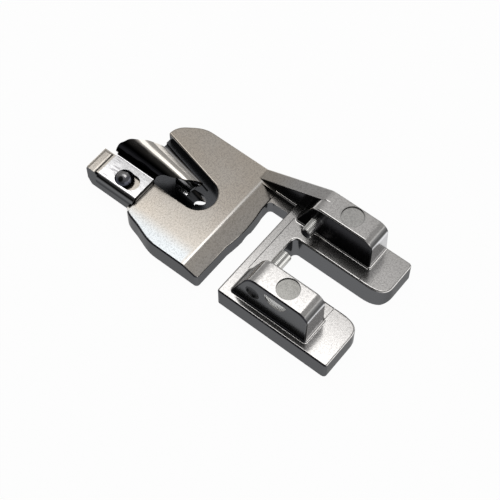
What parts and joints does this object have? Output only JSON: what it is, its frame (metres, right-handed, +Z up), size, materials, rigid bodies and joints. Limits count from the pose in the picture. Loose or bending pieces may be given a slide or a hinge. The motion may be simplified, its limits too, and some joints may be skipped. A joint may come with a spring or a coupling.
{
  "type": "sewing machine presser foot",
  "caption": "Clip-on metal presser foot for rolled hems: a curled sheet scroll on the toe folds the cloth edge ahead of the needle slot, and rear lugs carry stub pins for the holder.",
  "frame": {"origin": "centre of the part's box on the flat underside of the sole, which lies on the needle plate", "axes": "+Y points to the rear, the way the cloth is fed out, +Z up, +X to the operator's right"},
  "size_m": [0.018, 0.0414, 0.0086],
  "materials": {
    "cast_body": "satin plated casting",
    "scroll_sheet": "bright plated sheet",
    "rivet_head": "domed steel rivet",
    "pin_steel": "turned steel"
  },
  "bodies": {
    "root": {"foot_body": "cast_body", "hemming_scroll": "scroll_sheet", "scroll_rivet": "rivet_head", "near_pin": "pin_steel", "far_pin": "pin_steel"}
  },
  "joints": []
}
